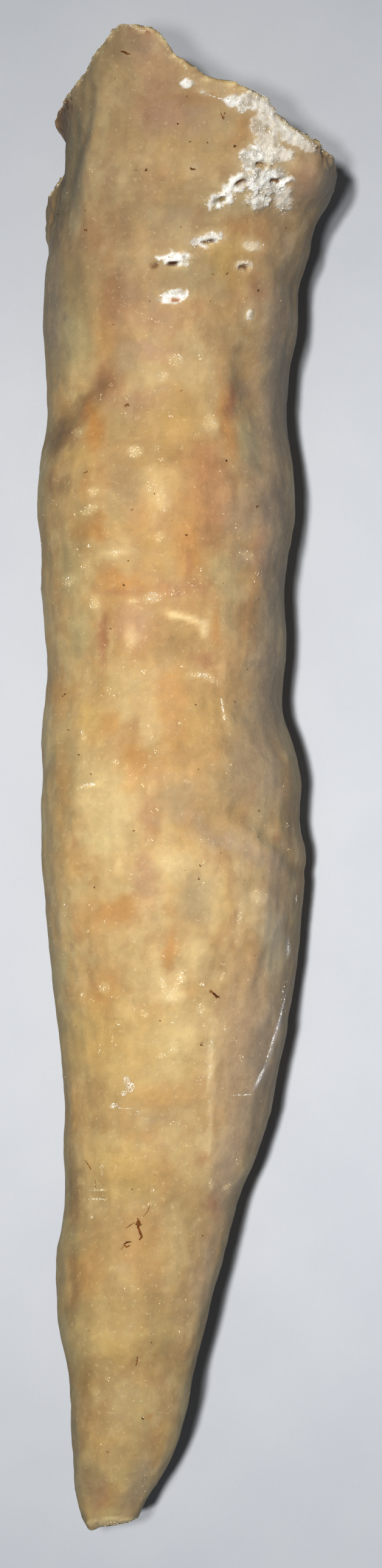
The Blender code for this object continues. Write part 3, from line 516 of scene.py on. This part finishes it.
class Skin:
    """The stone's points, outward directions and neighbours, in millimetres."""

    def __init__(self, mesh):
        self.mesh = mesh
        self.read()

    def read(self):
        self.points = fetched(self.mesh.vertices, "co", 3) / MM
        self.ends = fetched(self.mesh.edges, "vertices", 2, np.int32)
        self.links = np.bincount(self.ends.ravel(), minlength=len(self.points))[:, None].astype(float)
        self.every = np.ones_like(self.links)
        self.outward = fetched(self.mesh.vertex_normals, "vector", 3)

    def write(self):
        self.mesh.vertices.foreach_set("co", (self.points * MM).ravel())
        self.mesh.update()
        self.outward = fetched(self.mesh.vertex_normals, "vector", 3)

    def averaged(self, values):
        """The mean of each point's neighbours."""
        total = np.zeros_like(values)
        np.add.at(total, self.ends[:, 0], values[self.ends[:, 1]])
        np.add.at(total, self.ends[:, 1], values[self.ends[:, 0]])
        return total / self.links

    def relaxed(self, values, share, times):
        """Values pulled towards their neighbours' mean, by a share at each point."""
        for _ in range(times):
            values = values + share * PULL * (self.averaged(values) - values)
        return values

    def blurred(self, values, times):
        """One value at each point, averaged with those round it."""
        return self.relaxed(values[:, None], self.every, times)[:, 0]

    def hollows(self):
        """How deep in small hollows each point lies: 0 on the open skin, below 0 on crests."""
        bend = ((self.averaged(self.points) - self.points) * self.outward).sum(axis=1)
        depth = sum(weight * self.blurred(bend, times) for weight, times in HOLLOWS)
        return np.clip(depth, *HOLLOW_LIMITS)

    def push(self, heights):
        """Moves each point outwards by its height."""
        self.points = self.points + self.outward * heights[:, None]
        self.write()


def on_break(skin):
    """How surely each point lies on the broken root and on the broken tip."""
    along = skin.points[:, 1]
    root = eased(skin.outward[:, 1], *ROOT_FACES) * (along > high.y / MM - ROOT_REACH)
    tip = eased(-skin.outward[:, 1], *TIP_FACES) * (along < low.y / MM + TIP_REACH)
    return root, tip


def smooth_skin(skin):
    """Takes the facets off the skin, keeps the rims of the breaks crisp and gives back what shrinks."""
    before = skin.points.copy()
    skin.points = skin.relaxed(skin.points, skin.every, RIM_SMOOTHING)
    skin.write()
    near = np.maximum(*on_break(skin))[:, None]
    for _ in range(RIM_WIDTH):
        near = np.maximum(near, skin.averaged(near))
    skin.points = skin.relaxed(skin.points, np.clip(1 - RIM_CRISPNESS * near, 0, 1), SMOOTHING)
    skin.write()
    lost = ((before - skin.points) * skin.outward).sum(axis=1)
    skin.push(skin.blurred(lost, GIVE_BACK))


def refine(mesh, chosen):
    """Divides the faces whose corners are all chosen."""
    bm = bmesh.new()
    bm.from_mesh(mesh)
    bm.verts.ensure_lookup_table()
    edges = [e for e in bm.edges if chosen[e.verts[0].index] and chosen[e.verts[1].index]]
    bmesh.ops.subdivide_edges(bm, edges=edges, cuts=1, use_grid_fill=True)
    bm.to_mesh(mesh)
    bm.free()


def refine_small_forms(skin):
    """Gives the pits, the crust, the breaks and the torn places a finer mesh."""
    sight = sights(skin.points)
    seen = skin.outward[:, 2] > 0.1
    chosen = np.zeros(len(skin.points), bool)
    for place in [row[1:] for row in CRUST] + [row[2:] for row in PITS]:
        chosen |= (oval(sight, *widened(FINER_EDGE, *place)) < 1) & seen
    root, tip = on_break(skin)
    chosen |= (root > 0.1) | (tip > 0.5) | (torn_off(sight) > 0.1)
    refine(skin.mesh, chosen)
    skin.read()


def crusted(points, sight):
    """How much chalky crust lies at each place, with ragged and crumbly edges."""
    ragged = layered(points, CRUST_EDGE)
    crust = np.zeros(len(sight[0]))
    for strength, *place in CRUST:
        away = oval(sight, *place)
        crust = np.maximum(crust, strength * (1 - eased(away + ragged, *CRUST_FADE)))
    return crust


def lumps(points, size, shift):
    """Rounded lumps with narrow valleys between them."""
    return 1 - np.clip(LUMP_STEEPNESS * np.abs(noise_at(points, size, shift)), 0, 1)


def off_line(sight, line):
    """Distance in the picture from each place to a bent line."""
    across, down = sight
    away = np.full(len(across), np.inf)
    for (x1, y1), (x2, y2) in zip(line, line[1:]):
        dx = x2 - x1
        dy = y2 - y1
        t = np.clip(((across - x1) * dx + (down - y1) * dy) / (dx * dx + dy * dy), 0, 1)
        away = np.minimum(away, np.hypot(across - x1 - t * dx, down - y1 - t * dy))
    return away


def torn_off(sight):
    """How torn and crumbly each place is."""
    torn = np.zeros(len(sight[0]))
    for place in TORN:
        torn = np.maximum(torn, 1 - eased(oval(sight, *place), *TORN_FADE))
    return torn


def rim_of(skin, broken):
    """How close each point lies to the rim of a break."""
    soft = skin.blurred(broken, RIM_ROUNDS)
    return 4 * soft * (1 - soft)


def facets(points, size, where):
    """Flat leaning faces of broken crystals about one size across, only where told."""
    height = np.zeros(len(points))
    for i in np.flatnonzero(where):
        _, centres = noise.voronoi(points[i] / size)
        lean = noise.cell_vector(centres[0] * 7.3) - Vector((0.5, 0.5, 0.5))
        height[i] = lean.dot(Vector(points[i] / size) - centres[0]) * size
    return height


def skin_relief(points, sight, upper):
    """Ripples, folds, torn places, crust and pits."""
    height = layered(points, SKIN_RELIEF)
    for rise, wide, line in FOLDS:
        height += rise * np.exp(-(off_line(sight, line) / wide) ** 2) * upper
    height += torn_off(sight) * layered(points, TORN_RELIEF)
    crust = crusted(points, sight) * upper
    height += crust * sum((rise * lumps(points, *lump) for rise, *lump in CRUST_LUMPS), CRUST_RISE)
    ragged = layered(points, PIT_EDGE)
    for _, depth, *place in PITS:
        away = oval(sight, *place) + ragged
        height -= depth * (1 - eased(away, *PIT_FADE)) * upper
    return height


def break_relief(skin, root, tip, broken):
    """Crystal faces inside the breaks, and notches in their rims."""
    points = skin.points
    inner = eased(skin.blurred(broken, INNER_ROUNDS), *INNER_FADE)
    rough = sum(rise * facets(points, size, inner > 0) for rise, size in BREAK_FACETS)
    calm = 1 - CALM * eased(skin.outward[:, 2], *CALM_FACES)
    rough *= inner * calm * (root + TIP_SHARE * tip)
    return rough, rim_of(skin, broken) * layered(points, RIM_RELIEF)


def tip_lump(skin, sight):
    """The lump on the tip's break."""
    x, z, wide, tall, rise = TIP_LUMP
    lump = np.exp(-((sight[0] - x) / wide) ** 2 - ((skin.points[:, 2] - z) / tall) ** 2)
    return rise * lump * eased(-skin.outward[:, 1], *TIP_LUMP_FACES)


def relief_of(skin, sight, upper):
    """Small relief of the skin and the breaks, in millimetres outwards, and none on the resting face."""
    root, tip = on_break(skin)
    broken = np.maximum(root, tip)
    rough, notches = break_relief(skin, root, tip, broken)
    height = skin_relief(skin.points, sight, upper) * (1 - broken) + rough + notches
    height += tip_lump(skin, sight)
    flat = eased(-skin.outward[:, 2], *FLAT_FACES) * (skin.points[:, 2] < FLAT_BELOW)
    return height * (1 - flat)


# ---------------- the stone's colours

def covered(colours, over, share):
    """Colours with others over them, by a share at each point."""
    share = share[:, None]
    return colours * (1 - share) + over * share


def patched(base, patches, sight):
    """The stone's base colours with soft patches over them, at places of the picture."""
    colours = base.copy()
    for tint, strength, *place in patches:
        near = strength * np.exp(-oval(sight, *place) ** 1.6)
        colours += (TINTS[tint] - colours) * near[:, None]
    return colours


def clouded(points):
    """The tan stone with clouds of other tints."""
    colours = np.tile(TINTS["tan"], (len(points), 1))
    for tint, size, shift, start, strength in CLOUDS:
        field = noise_at(points, size, shift, CLOUD_STRETCH)
        field += CLOUD_DETAIL * noise_at(points, size / 3, shift)
        share = strength * eased(field, start, start + CLOUD_EDGE)[:, None]
        colours += (TINTS[tint] - colours) * share
    return colours


def glint_sheen_and_crust_halos():
    """Painted sheen round the larger groups of glint crystals, and pale patches round the crust."""
    groups = [place for many, *place in GLINTS if many >= GLINT_SHEEN_MANY and place[2] < GLINT_SHEEN_WIDEST]
    # painted sheen round the glint groups
    glint_sheen = [("bright", GLINT_SHEEN, *place) for place in groups]
    return glint_sheen + [("bright", CRUST_HALO, *widened(CRUST_HALO_EDGE, *place)) for _, *place in CRUST]


def skin_colours(points, sight, upper):
    """Soft patches and streaks where they show in the picture, and others of their kind below."""
    wander = np.array([layered(points, WANDER_ACROSS), layered(points, WANDER_DOWN)])
    base = clouded(points)
    above = patched(base, PATCHES, sight + wander)
    above = patched(above, STREAKS + glint_sheen_and_crust_halos(), sight + STREAK_WANDER * wander)
    below = patched(base, PATCHES, OTHER_CORNER - sight + WANDER_BELOW * wander + SHIFT_BELOW)
    share = upper[:, None]
    return (above * share + below * (1 - share)) * (1 + layered(points, FAINT_LIGHT))[:, None]


def toned(skin, colours):
    """Darker towards both ends, with painted shade on the sides and painted bluish light on the right one,
    and darker in hollows.
    """
    along = skin.points[:, 1]
    root = eased(along, *ROOT_SHADE)[:, None]
    tip = eased(along, *TIP_SHADE)[:, None]
    # painted shade on the sides
    side = (1 - eased(skin.outward[:, 2], *PAINTED_FLANK_SHADE_FACES))[:, None]
    # painted light on the right side
    painted_right_light = eased(skin.outward[:, 0], *PAINTED_RIGHT_LIGHT_FACES)[:, None] * (1 - PAINTED_RIGHT_LIGHT_LOSS * root)
    colours = colours * (1 + (ROOT_TONE - 1) * root) * (1 + (TIP_TONE - 1) * tip)
    colours = colours * (1 + (PAINTED_FLANK_SHADE - 1) * side) * (1 + (PAINTED_RIGHT_LIGHT - 1) * painted_right_light)
    return colours * CREST_TONE * (1 - skin.hollows())[:, None]


def with_crust(points, colours, sight, upper):
    """Adds the white crust, which is grey in places, and the floors of the pits."""
    grey = CRUST_GREY_STRENGTH * eased(layered(points, CRUST_GREY), *CRUST_GREY_FADE)
    chalk = covered(TINTS["chalk"], TINTS["grey"], grey)
    colours = covered(colours, chalk, crusted(points, sight) * upper)
    ragged = layered(points, PIT_EDGE)
    for tint, _, *place in PITS:
        away = oval(sight, *place) + ragged
        colours = covered(colours, TINTS[tint], (1 - eased(away, *PIT_TINT_FADE)) * upper)
    return colours


def inside_colours(points):
    """The pale crystalline stone inside, with faint growth rings round a small canal."""
    x = points[:, 0] - MIDDLE_X
    z = points[:, 2] - LEVEL
    radius = np.hypot(x, z / FLATNESS) + layered(points, RING_WANDER)
    rings = 0.5 + 0.5 * np.sin(radius * RING_PACE + RING_BUNCHING * np.sin(radius * RING_BUNCHES))
    rings = RING_STRENGTH * np.clip(rings + layered(points, RING_MOTTLE), 0, 1)
    colours = covered(TINTS["bright"], TINTS["cream"], rings)
    colours = colours * layered(points, INSIDE_MOTTLE, 1)[:, None]
    colours = covered(colours, TINTS["tan"], OUTER_STRENGTH * eased(radius, *OUTER_LAYER))
    return covered(colours, TINTS["brown"], 1 - eased(radius, *CANAL))


def with_breaks(skin, colours):
    """Adds the breaks, and the pale edge that comes and goes along the root's rim."""
    points = skin.points
    root, tip = on_break(skin)
    colours = covered(colours, inside_colours(points), np.maximum(root, TIP_PALE * tip))
    edge = EDGE_STRENGTH * eased(rim_of(skin, root), *EDGE_STARTS)
    return covered(colours, TINTS["bright"], edge * eased(layered(points, EDGE_GAPS), *GAP_FADE))


def paint(mesh, colours):
    """Stores a colour at each point of the mesh."""
    layer = mesh.color_attributes.new("tint", "FLOAT_COLOR", "POINT")
    full = np.column_stack([colours, np.ones(len(colours))])
    layer.data.foreach_set("color", full.ravel())


# ---------------- materials

class Shading:
    """A material, and ways to add nodes whose inputs are plain values or other nodes' outputs."""

    def __init__(self, name):
        self.material = bpy.data.materials.new(name)
        self.material.use_nodes = True
        self.nodes = self.material.node_tree.nodes
        self.place = self.nodes.new("ShaderNodeTexCoord").outputs["Object"]

    def feed(self, node, inputs):
        for key, value in inputs.items():
            if isinstance(value, bpy.types.NodeSocket):
                self.material.node_tree.links.new(value, node.inputs[key])
            else:
                node.inputs[key].default_value = value

    def add(self, kind, output, inputs, **settings):
        """An output of a new node, with its inputs and settings set by name."""
        node = self.nodes.new("ShaderNode" + kind)
        for key, value in settings.items():
            setattr(node, key, value)
        self.feed(node, inputs)
        return node.outputs[output]

    def texture(self, kind, output, **inputs):
        return self.add("Tex" + kind, output, {"Vector": self.place, **inputs})

    def spread(self, source, start, end, first=0.0, last=1.0):
        """First where the source is start or less, last where it is end or more, and even in between."""
        limits = {"From Min": start, "From Max": end, "To Min": first, "To Max": last}
        return self.add("MapRange", "Result", {"Value": source, **limits})

    def mixed(self, factor, first, second, blend="MIX"):
        inputs = {"Factor": factor, 6: first, 7: second}
        return self.add("Mix", 2, inputs, data_type="RGBA", blend_type=blend)

    def bump(self, height, strength, distance, **under):
        """A bumpy surface, over another one if told."""
        inputs = {"Height": height, "Strength": strength, "Distance": distance, **under}
        return self.add("Bump", "Normal", inputs)

    def finished(self, colour, roughness, gloss, **others):
        """The material, with the inputs of its shader."""
        inputs = {"Base Color": colour, "Roughness": roughness, "Specular IOR Level": gloss, **others}
        self.feed(self.nodes["Principled BSDF"], inputs)
        return self.material


def calcite():
    """Waxy stone: its painted patches, a fine mottle and grain, pale flecks and a gently uneven gloss."""
    look = Shading("calcite")
    painted = look.add("VertexColor", "Color", {}, layer_name="tint")
    mottle = look.texture("Noise", "Fac", Scale=420.0, Detail=6.0, Roughness=0.62)
    grains = look.texture("Voronoi", "Color", Scale=1300.0)
    flecks = look.texture("Noise", "Fac", Scale=1500.0, Detail=3.0, Roughness=0.6)
    pores = look.texture("Noise", "Fac", Scale=1900.0, Detail=4.0, Roughness=0.65)
    colour = look.mixed(1.0, painted, look.spread(mottle, 0.32, 0.68, 0.94, 1.06), "MULTIPLY")
    colour = look.mixed(1.0, colour, look.spread(grains, 0.0, 1.0, 0.96, 1.04), "MULTIPLY")
    colour = look.mixed(look.spread(flecks, 0.60, 0.76, 0.0, 0.22), colour, (*srgb(244, 226, 190), 1.0))
    rough = look.spread(mottle, 0.3, 0.7, 0.50, 0.75)
    normal = look.bump(pores, 0.35, 0.00012, Normal=look.bump(mottle, 0.5, 0.0003))
    waxy = {"Subsurface Weight": 0.22, "Subsurface Radius": (1.0, 0.62, 0.34), "Subsurface Scale": 0.003}
    return look.finished(colour, rough, 0.3, Normal=normal, **waxy)


def speckled(name, colour, other, roughness, gloss):
    """A plain crumbly material whose colour varies from grain to grain."""
    look = Shading(name)
    grains = look.spread(look.texture("Noise", "Fac", Scale=1500.0, Detail=2.0), 0.38, 0.62)
    return look.finished(look.mixed(grains, (*colour, 1.0), (*other, 1.0)), roughness, gloss)


def paper():
    """Plain pale paper with a faint tooth."""
    look = Shading("paper")
    clouds = look.texture("Noise", "Fac", Scale=60.0, Detail=5.0)
    colour = look.mixed(clouds, (0.50, 0.515, 0.545, 1.0), (0.56, 0.572, 0.590, 1.0))
    tooth = look.texture("Noise", "Fac", Scale=2500.0, Detail=2.0)
    return look.finished(colour, 0.75, 0.2, Normal=look.bump(tooth, 0.15, 0.0002))


# ---------------- building the stone

def placed(name, data, place=(0, 0, 0)):
    obj = bpy.data.objects.new(name, data)
    obj.location = place
    bpy.context.scene.collection.objects.link(obj)
    return obj


def new_object(name, mesh, material):
    mesh.materials.clear()
    mesh.materials.append(material)
    return placed(name, mesh)


def even_mesh():
    """The CAD node's shape, closed and made of even squares."""
    bm = bmesh.new()
    bm.from_mesh(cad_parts["stalactite"].data)
    bmesh.ops.remove_doubles(bm, verts=bm.verts, dist=1e-6)
    rough = bpy.data.meshes.new("rough")
    bm.to_mesh(rough)
    bm.free()
    cage = placed("cage", rough)
    remesh = cage.modifiers.new("remesh", "REMESH")
    remesh.mode = "VOXEL"
    remesh.voxel_size = GRAIN * MM
    mesh = bpy.data.meshes.new_from_object(cage.evaluated_get(bpy.context.evaluated_depsgraph_get()))
    bpy.data.objects.remove(cage)
    return mesh


def build_stone():
    """The stone that is shown for the CAD node, inside its box, and its skin."""
    mesh = even_mesh()
    skin = Skin(mesh)
    smooth_skin(skin)
    refine_small_forms(skin)
    sight = sights(skin.points)
    upper = eased(skin.outward[:, 2], *UPPER_FACE)
    skin.push(relief_of(skin, sight, upper))
    skin.points = np.clip(skin.points, np.array(low) / MM, np.array(high) / MM)
    skin.write()
    colours = toned(skin, skin_colours(skin.points, sight, upper))
    colours = with_crust(skin.points, colours, sight, upper)
    paint(mesh, with_breaks(skin, colours))
    mesh.shade_smooth()
    stone = new_object("stone", mesh, calcite())
    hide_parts("stalactite")
    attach(stone, "root")
    return stone, skin


stone, skin = build_stone()
stone_tree = BVHTree.FromPolygons([v.co.copy() for v in stone.data.vertices],
                                  [tuple(p.vertices) for p in stone.data.polygons])


# ---------------- small things on the stone

def on_stone(x, y):
    """Where the line of sight through a place of the picture meets the stone, and which way is out."""
    across = (x - PICTURE_WIDE / 2) * PIXEL
    down = (y - PICTURE_HIGH / 2) * PIXEL
    aim = Vector((EYE_X + across, EYE_Y - down, LEVEL)) * MM
    place, outward, _, _ = stone_tree.ray_cast(EYE, (aim - EYE).normalized())
    return place, outward


def random_in(chance, x, y, wide, tall, lean=0):
    """A random place in an oval of the picture."""
    turn = math.radians(lean)
    away = math.sqrt(chance.random())
    spin = chance.random() * 2 * math.pi
    u = away * wide * math.cos(spin)
    v = away * tall * math.sin(spin)
    return x + u * math.cos(turn) - v * math.sin(turn), y + u * math.sin(turn) + v * math.cos(turn)


def scattered(chance, rows):
    """Places and outward directions on the stone, from rows of how many and their oval."""
    found = [on_stone(*random_in(chance, *place)) for many, *place in rows for _ in range(many)]
    return [(place, outward) for place, outward in found if place is not None]


def anywhere(chance, many, keep=True):
    """Places and outward directions all over the stone, or only where keep says."""
    chosen = np.flatnonzero(keep & (skin.points[:, 2] > CLEAR_OF_FLOOR))
    picked = chance.choice(chosen, many)
    return [(Vector(skin.points[i]) * MM, Vector(skin.outward[i])) for i in picked]


def sizes_between(chance, count, smallest, largest):
    """Sizes across in mm, most of them small."""
    return list(smallest + (largest - smallest) * chance.random(count) ** 2.2)


def dressed(name, mesh, material):
    """A piece that rides on the stone."""
    piece = new_object(name, mesh, material)
    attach(piece, "root")


def crystals(name, chance, spots, sizes, flatness, tilt, material):
    """A piece made of small uneven eight-faced crystals, half sunk in the stone."""
    count = len(spots)
    places = np.array([place for place, _ in spots])
    up = np.array([outward for _, outward in spots]) + tilt * chance.normal(size=(count, 3))
    up /= np.linalg.norm(up, axis=1, keepdims=True)
    side = np.cross(up, chance.normal(size=(count, 3)))
    side /= np.linalg.norm(side, axis=1, keepdims=True)
    third = np.cross(up, side)
    half = np.array(sizes) * MM / 2
    reach = np.stack([side * (half * chance.uniform(*LONG_HALF, count))[:, None],
                      third * (half * chance.uniform(*SHORT_HALF, count))[:, None],
                      up * (half * flatness)[:, None]], axis=1)
    ends = np.concatenate([reach, -reach], axis=1) * chance.uniform(*UNEVEN, (count, 6, 1))
    points = (places[:, None, :] + ends).reshape(-1, 3)
    faces = (np.array(CRYSTAL_FACES)[None] + 6 * np.arange(count)[:, None, None]).reshape(-1, 3)
    mesh = bpy.data.meshes.new(name)
    mesh.from_pydata(points.tolist(), [], faces.tolist())
    dressed(name, mesh, material)


def in_pit(place):
    """Whether a place on the stone lies in one of the dark pits."""
    sight = sights(np.array([place]) / MM)
    return any(oval(sight, *pit)[0] < NEAR_PIT for _, _, *pit in PITS)


def build_frost():
    """White grains of the chalky crust, the scratches and the root's rim."""
    chance = np.random.default_rng(SEED)
    rows = []
    for strength, *place in CRUST:
        many = int(FROST_DENSITY * strength * place[2] * place[3])
        rows += [(many, *place), (many // 5, *widened(FROST_EDGE, *place))]
    spots = [spot for spot in scattered(chance, rows) if not in_pit(spot[0])]
    sizes = sizes_between(chance, len(spots), *FROST_SIZES)
    root, _ = on_break(skin)
    fine = scattered(chance, CHALK_MARKS)
    fine += anywhere(chance, RIM_GRAINS, (rim_of(skin, root) > 0.4) & (skin.outward[:, 2] > 0.15))
    sizes += sizes_between(chance, len(fine), *FINE_FROST_SIZES)
    material = speckled("frost", srgb(252, 250, 244), srgb(206, 198, 180), 0.55, 0.5)
    crystals("calcite_frost", chance, spots + fine, sizes, 0.8, 0.7, material)


def build_glints():
    """Small crystals painted near white as glints: the groups that show, and others all over the stone and
    its breaks.
    """
    chance = np.random.default_rng(SEED + 1)
    root, tip = on_break(skin)
    spots = scattered(chance, [(round(GLINT_SHARE * many), *place) for many, *place in GLINTS])
    spots += anywhere(chance, GLINTS_ELSEWHERE)
    spots += anywhere(chance, GLINTS_ON_ROOT, root > 0.6)
    spots += anywhere(chance, GLINTS_ON_TIP, tip > 0.6)
    sizes = sizes_between(chance, len(spots), *GLINT_SIZES)
    # near-white colours: painted glints
    material = speckled("glint", srgb(252, 243, 220), srgb(236, 212, 162), 0.25, 0.6)
    crystals("crystal_glints", chance, spots, sizes, 0.55, 0.45, material)


def build_specks():
    """Dark grains of dirt, each made of a few small ones."""
    chance = np.random.default_rng(SEED + 2)
    spots = []
    sizes = []
    for x, y, size in SPECKS:
        for _ in range(SPECK_PARTS):
            place, outward = on_stone(x + chance.normal() * 1.9 * size, y + chance.normal() * 1.5 * size)
            if place is not None:
                spots.append((place, outward))
                sizes.append(size * chance.uniform(0.3, 0.7))
    spots += anywhere(chance, SPECKS_ELSEWHERE)
    sizes += sizes_between(chance, SPECKS_ELSEWHERE, *SPECK_SIZES)
    material = speckled("dirt", srgb(84, 62, 42), srgb(140, 104, 66), 0.9, 0.2)
    crystals("dirt_specks", chance, spots, sizes, 0.45, 0.3, material)


def tube(path, outwards, radius):
    """Points and faces of a fibre that lies on the stone along a path."""
    points = []
    last = len(path) - 1
    for i, (place, outward) in enumerate(zip(path, outwards)):
        ahead = (path[min(i + 1, last)] - path[max(i - 1, 0)]).normalized()
        side = ahead.cross(outward).normalized()
        thin = radius * (FIBRE_END if i in (0, last) else 1.0)
        for k in range(FIBRE_SIDES):
            spin = 2 * math.pi * k / FIBRE_SIDES
            points.append(place + thin * (math.cos(spin) * side + math.sin(spin) * outward))
    faces = []
    for start in range(0, last * FIBRE_SIDES, FIBRE_SIDES):
        for k in range(FIBRE_SIDES):
            here, after = start + k, start + (k + 1) % FIBRE_SIDES
            faces.append((here, after, after + FIBRE_SIDES, here + FIBRE_SIDES))
    faces.append(tuple(reversed(range(FIBRE_SIDES))))
    faces.append(tuple(range(last * FIBRE_SIDES, len(points))))
    return points, faces


def stray_fibre(chance):
    """A short bent path on the lower half of the stone, from a place picked at random."""
    place, outward = anywhere(chance, 1, skin.outward[:, 2] < -0.1)[0]
    heading = outward.cross(Vector(chance.normal(size=3))).normalized()
    path = []
    for _ in range(STRAY_POINTS):
        found, normal, _, _ = stone_tree.find_nearest(place)
        path.append((found, normal))
        heading = (heading + STRAY_BEND * Vector(chance.normal(size=3))).normalized()
        place = found + heading * STRAY_STEP * MM
    return path


def build_fibres():
    """Thin fibres and rootlets stuck to the stone."""
    chance = np.random.default_rng(SEED + 3)
    paths = [(thick, [on_stone(x, y) for x, y in picture]) for thick, picture in FIBRES]
    paths += [(STRAY_THICKNESS, stray_fibre(chance)) for _ in range(STRAY_FIBRES)]
    points = []
    faces = []
    for thick, path in paths:
        found = [(place, outward) for place, outward in path if place is not None]
        lifted = [place + outward * FIBRE_LIFT * thick * MM for place, outward in found]
        new_points, new_faces = tube(lifted, [outward for _, outward in found], thick * MM / 2)
        faces += [tuple(i + len(points) for i in face) for face in new_faces]
        points += new_points
    mesh = bpy.data.meshes.new("dirt_fibres")
    mesh.from_pydata(points, [], faces)
    mesh.shade_smooth()
    dressed("dirt_fibres", mesh, speckled("fibre", srgb(98, 62, 36), srgb(152, 101, 54), 0.85, 0.2))


build_frost()
build_glints()
build_specks()
build_fibres()


# ---------------- the stage

def build_floor():
    """A sheet of paper that fills every view, just below the stone."""
    corners = [(-12.0, -12.0), (12.0, -12.0), (12.0, 12.0), (-12.0, 12.0)]
    mesh = bpy.data.meshes.new("floor")
    mesh.from_pydata([(x, y, -0.00005) for x, y in corners], [], [(0, 1, 2, 3)])
    new_object("floor", mesh, paper())


def build_light(kind, place, aim, **values):
    """A light that points from its place to its aim."""
    light = bpy.data.lights.new(kind.lower(), kind)
    for key, value in values.items():
        setattr(light, key, value)
    obj = placed(light.name, light, place)
    obj.rotation_euler = (Vector(aim) - Vector(place)).to_track_quat("-Z", "Y").to_euler()


def build_lights():
    build_light("SUN", EVEN_PLACE, (0, 0, 0), energy=EVEN_LIGHT, angle=math.radians(EVEN_SOFTNESS))
    for watts, degrees in LAMP_CONES:
        build_light("SPOT", LAMP_PLACE, LAMP_AIM, energy=watts, spot_size=math.radians(degrees),
                    spot_blend=1.0, shadow_soft_size=LAMP_SIZE / 2)
    world = bpy.data.worlds.new("room")
    world.use_nodes = True
    world.node_tree.nodes["Background"].inputs["Color"].default_value = ROOM_COLOUR
    world.node_tree.nodes["Background"].inputs["Strength"].default_value = ROOM_LIGHT
    bpy.context.scene.world = world
    bpy.context.scene.view_settings.view_transform = "Standard"
    bpy.context.scene.view_settings.look = "High Contrast"


def build_camera():
    camera = bpy.data.cameras.new("camera")
    camera.lens = LENS
    camera.sensor_width = SENSOR
    camera.clip_start = 0.01
    bpy.context.scene.camera = placed("camera", camera, EYE)


build_floor()
build_camera()
build_lights()
